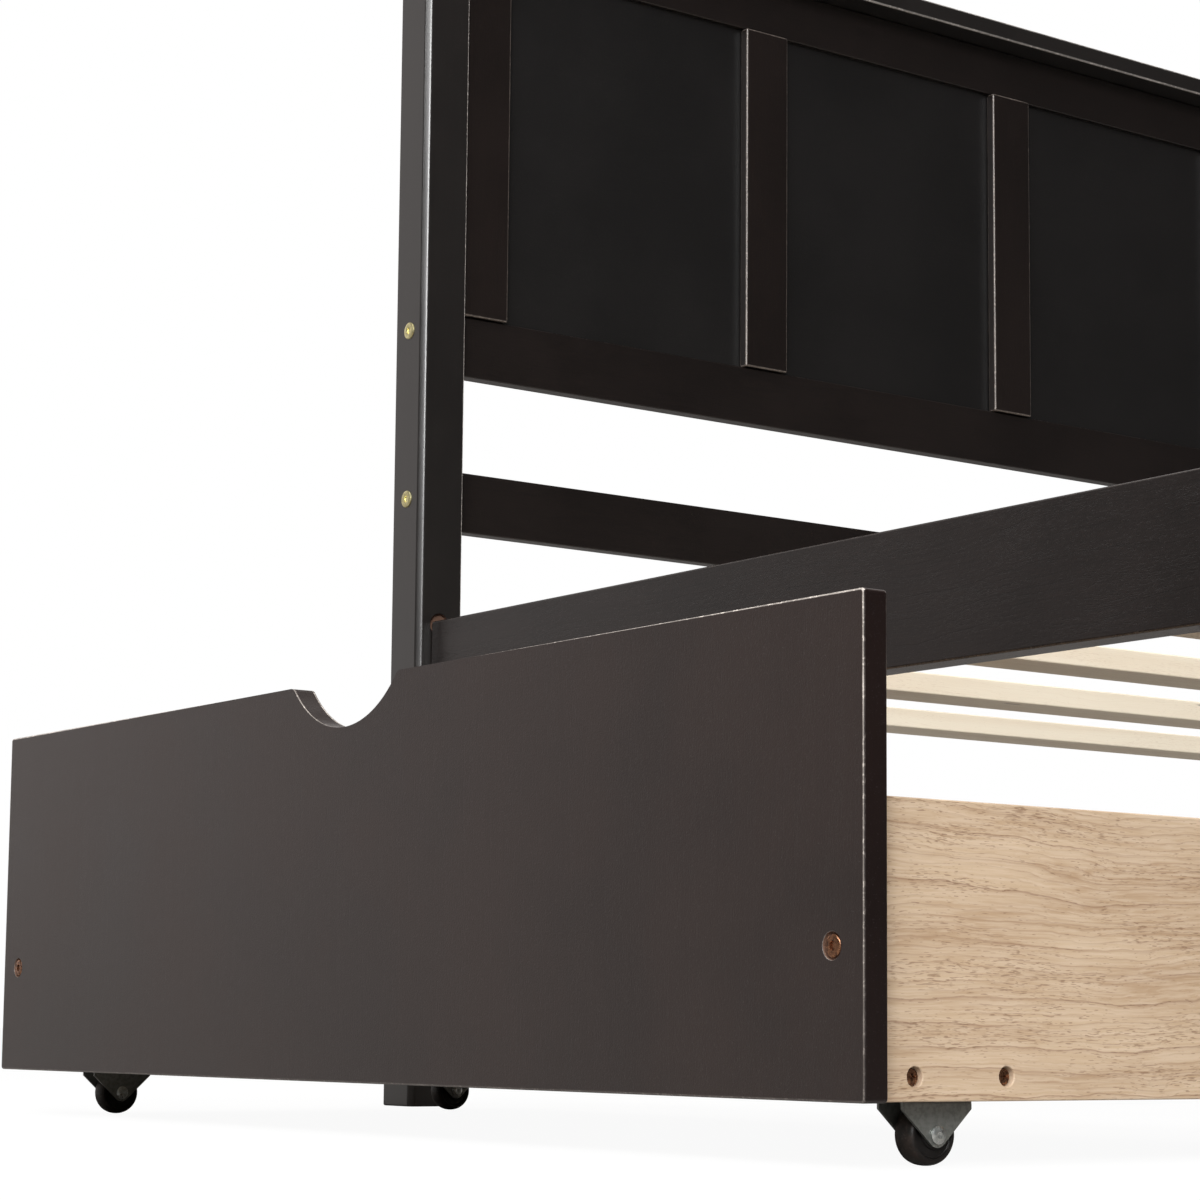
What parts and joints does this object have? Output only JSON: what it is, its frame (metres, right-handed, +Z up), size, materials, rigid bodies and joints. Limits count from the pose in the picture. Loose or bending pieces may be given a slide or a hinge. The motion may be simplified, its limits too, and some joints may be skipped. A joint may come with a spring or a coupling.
{
  "type": "trundle bed",
  "caption": "Platform bed with a panelled headboard, open slatted base and roll-out under-bed storage drawers with hand notches, on fixed casters.",
  "frame": {"origin": "bottom centre of everything at rest, head drawer pulled out, on the floor", "axes": "+X from the head of the bed to its foot, -Y towards the side the drawers open, +Z up"},
  "size_m": [2.0484, 1.455, 1.0535],
  "materials": {
    "espresso_lacquer": "satin espresso lacquer",
    "raw_wood": "unfinished planed softwood",
    "laminate": "wood-grain foil on board",
    "zinc_steel": "zinc plated",
    "wheel_plastic": "moulded, worn tread"
  },
  "bodies": {
    "bed_frame": {"head_post_near": "espresso_lacquer", "head_post_far": "espresso_lacquer", "foot_post_near": "espresso_lacquer", "foot_post_far": "espresso_lacquer", "headboard_cap": "espresso_lacquer", "headboard_top_rail": "espresso_lacquer", "headboard_bottom_rail": "espresso_lacquer", "headboard_lower_rail": "espresso_lacquer", "headboard_panel": "espresso_lacquer", "stile_1": "espresso_lacquer", "stile_2": "espresso_lacquer", "stile_3": "espresso_lacquer", "stile_4": "espresso_lacquer", "side_rail_near": "espresso_lacquer", "side_rail_far": "espresso_lacquer", "foot_rail": "espresso_lacquer", "ledger_near": "raw_wood", "ledger_far": "raw_wood", "slat_01": "raw_wood", "slat_02": "raw_wood", "slat_03": "raw_wood", "slat_04": "raw_wood", "slat_05": "raw_wood", "slat_06": "raw_wood", "slat_07": "raw_wood", "slat_08": "raw_wood", "slat_09": "raw_wood", "slat_10": "raw_wood"},
    "wheel_head_front_left": {"wheel_head_front_left": "wheel_plastic"},
    "wheel_head_front_right": {"wheel_head_front_right": "wheel_plastic"},
    "wheel_head_rear_left": {"wheel_head_rear_left": "wheel_plastic"},
    "wheel_head_rear_right": {"wheel_head_rear_right": "wheel_plastic"},
    "drawer_head": {"drawer_head_front": "espresso_lacquer", "drawer_head_side_left": "laminate", "drawer_head_side_right": "laminate", "drawer_head_back": "laminate", "drawer_head_bottom": "laminate", "drawer_head_caster_board_front": "raw_wood", "drawer_head_caster_board_rear": "raw_wood", "fork_head_front_left": "zinc_steel", "fork_head_front_right": "zinc_steel", "fork_head_rear_left": "zinc_steel", "fork_head_rear_right": "zinc_steel"},
    "wheel_foot_front_left": {"wheel_foot_front_left": "wheel_plastic"},
    "wheel_foot_front_right": {"wheel_foot_front_right": "wheel_plastic"},
    "wheel_foot_rear_left": {"wheel_foot_rear_left": "wheel_plastic"},
    "wheel_foot_rear_right": {"wheel_foot_rear_right": "wheel_plastic"},
    "drawer_foot": {"drawer_foot_front": "espresso_lacquer", "drawer_foot_side_left": "laminate", "drawer_foot_side_right": "laminate", "drawer_foot_back": "laminate", "drawer_foot_bottom": "laminate", "drawer_foot_caster_board_front": "raw_wood", "drawer_foot_caster_board_rear": "raw_wood", "fork_foot_front_left": "zinc_steel", "fork_foot_front_right": "zinc_steel", "fork_foot_rear_left": "zinc_steel", "fork_foot_rear_right": "zinc_steel"}
  },
  "joints": [
    {"name": "drawer_head_slide", "type": "slide", "parent": "bed_frame", "child": "drawer_head", "axis": [0, -1, 0], "range_m": [-0.39, 0.2]},
    {"name": "wheel_head_front_left_spin", "type": "hinge", "parent": "drawer_head", "child": "wheel_head_front_left", "pos_m": [-0.9033, -0.654, 0.0152], "axis": [1, 0, 0], "continuous": true},
    {"name": "wheel_head_front_right_spin", "type": "hinge", "parent": "drawer_head", "child": "wheel_head_front_right", "pos_m": [-0.0248, -0.654, 0.0152], "axis": [1, 0, 0], "continuous": true},
    {"name": "wheel_head_rear_left_spin", "type": "hinge", "parent": "drawer_head", "child": "wheel_head_rear_left", "pos_m": [-0.9033, -0.3625, 0.0152], "axis": [1, 0, 0], "continuous": true},
    {"name": "wheel_head_rear_right_spin", "type": "hinge", "parent": "drawer_head", "child": "wheel_head_rear_right", "pos_m": [-0.0248, -0.3625, 0.0152], "axis": [1, 0, 0], "continuous": true},
    {"name": "drawer_foot_slide", "type": "slide", "parent": "bed_frame", "child": "drawer_foot", "axis": [0, -1, 0], "range_m": [0, 0.59]},
    {"name": "wheel_foot_front_left_spin", "type": "hinge", "parent": "drawer_foot", "child": "wheel_foot_front_left", "pos_m": [0.0592, -0.264, 0.0152], "axis": [1, 0, 0], "continuous": true},
    {"name": "wheel_foot_front_right_spin", "type": "hinge", "parent": "drawer_foot", "child": "wheel_foot_front_right", "pos_m": [0.9377, -0.264, 0.0152], "axis": [1, 0, 0], "continuous": true},
    {"name": "wheel_foot_rear_left_spin", "type": "hinge", "parent": "drawer_foot", "child": "wheel_foot_rear_left", "pos_m": [0.0592, 0.0275, 0.0152], "axis": [1, 0, 0], "continuous": true},
    {"name": "wheel_foot_rear_right_spin", "type": "hinge", "parent": "drawer_foot", "child": "wheel_foot_rear_right", "pos_m": [0.9377, 0.0275, 0.0152], "axis": [1, 0, 0], "continuous": true}
  ],
  "couplings": [
    {"joint": "wheel_head_front_left_spin", "follows": "drawer_head_slide", "rad_per_m": 65.79},
    {"joint": "wheel_head_front_right_spin", "follows": "drawer_head_slide", "rad_per_m": 65.79},
    {"joint": "wheel_head_rear_left_spin", "follows": "drawer_head_slide", "rad_per_m": 65.79},
    {"joint": "wheel_head_rear_right_spin", "follows": "drawer_head_slide", "rad_per_m": 65.79},
    {"joint": "wheel_foot_front_left_spin", "follows": "drawer_foot_slide", "rad_per_m": 65.79},
    {"joint": "wheel_foot_front_right_spin", "follows": "drawer_foot_slide", "rad_per_m": 65.79},
    {"joint": "wheel_foot_rear_left_spin", "follows": "drawer_foot_slide", "rad_per_m": 65.79},
    {"joint": "wheel_foot_rear_right_spin", "follows": "drawer_foot_slide", "rad_per_m": 65.79}
  ]
}
